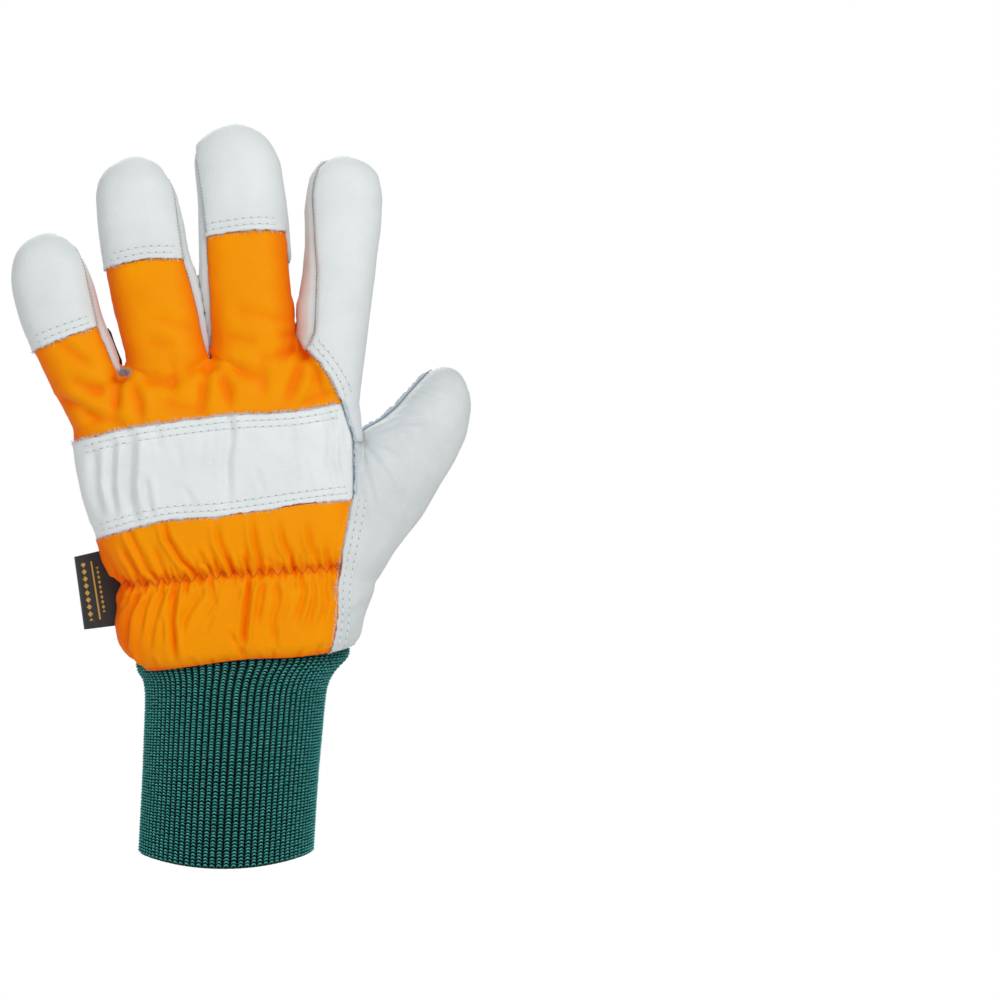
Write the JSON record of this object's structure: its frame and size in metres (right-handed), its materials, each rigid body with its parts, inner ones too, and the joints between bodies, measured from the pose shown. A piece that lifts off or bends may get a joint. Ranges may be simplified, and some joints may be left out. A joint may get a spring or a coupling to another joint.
{
  "type": "chainsaw glove",
  "caption": "Left-hand winter work glove with leather palm, fingertips and knuckle band, a gathered nylon back and a long rib-knit cuff.",
  "frame": {"origin": "middle of the wrist opening at the lowest point of the cuff's hem", "axes": "+Z from the cuff to the fingertips, +X to the thumb side, -Y out of the back of the hand"},
  "size_m": [0.2008, 0.064, 0.3152],
  "materials": {
    "leather": "matte smooth grain leather, greyish white",
    "nylon": "fluorescent orange woven nylon with a soft sheen",
    "knit": "dark green rib knit",
    "raw_edge": "raw blue-grey cut edge of the hide",
    "woven_label": "black satin weave with plain gold stripes"
  },
  "bodies": {
    "root": {"palm": "leather", "ring_front": "leather", "middle_front": "leather", "pinky_side": "leather", "index_side": "leather", "pinky_cap": "leather", "ring_cap": "leather", "middle_cap": "leather", "knuckle_band": "leather", "thumb_back": "leather", "pulse_patch": "leather", "back_upper": "nylon", "back_lower": "nylon", "thumb_welt": "raw_edge", "finger_welt": "raw_edge", "side_welt": "raw_edge", "cuff": "knit", "side_label": "woven_label"}
  },
  "joints": []
}
